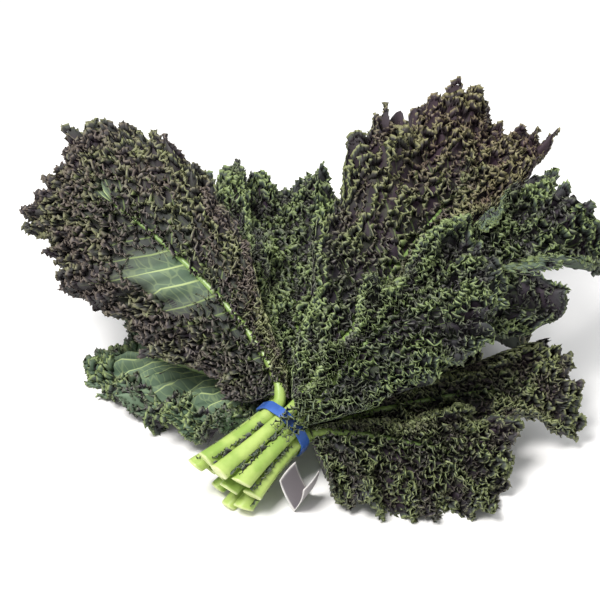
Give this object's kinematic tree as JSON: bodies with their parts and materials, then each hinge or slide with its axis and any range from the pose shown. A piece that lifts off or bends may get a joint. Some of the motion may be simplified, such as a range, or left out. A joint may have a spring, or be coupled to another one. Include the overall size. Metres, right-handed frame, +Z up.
{
  "type": "kale bunch",
  "caption": "Bunch of curly kale leaves with ruffled blades, held at the stalks by a flat rubber band, with a small folded paper tag, lying on a surface.",
  "frame": {"origin": "middle of the bottom of the whole bunch's box, on the surface that it lies on", "axes": "+Z up, +X to the right as seen from the front and along the bunch's longest side, +Y to the back; the cut stalks point to the front left"},
  "size_m": [0.4596, 0.3264, 0.2049],
  "materials": {
    "blade": "satin leaf, dark green with bright curled rims",
    "stalk": "smooth satin, pale yellow green",
    "band": "matt blue rubber",
    "tag": "matt paper"
  },
  "bodies": {
    "root": {"stalk_left_tall": "stalk", "blade_left_tall": "blade", "stalk_left_low": "stalk", "blade_left_low": "blade", "stalk_back_left": "stalk", "blade_back_left": "blade", "stalk_back_middle": "stalk", "blade_back_middle": "blade", "stalk_right_tall": "stalk", "blade_right_tall": "blade", "stalk_front_top": "stalk", "blade_front_top": "blade", "stalk_right_far": "stalk", "blade_right_far": "blade", "stalk_right_low": "stalk", "blade_right_low": "blade", "stalk_front_right": "stalk", "blade_front_right": "blade", "stalk_back_low": "stalk", "blade_back_low": "blade", "stalk_back_right": "stalk", "blade_back_right": "blade", "rubber_band": "band", "tag": "tag"}
  },
  "joints": []
}
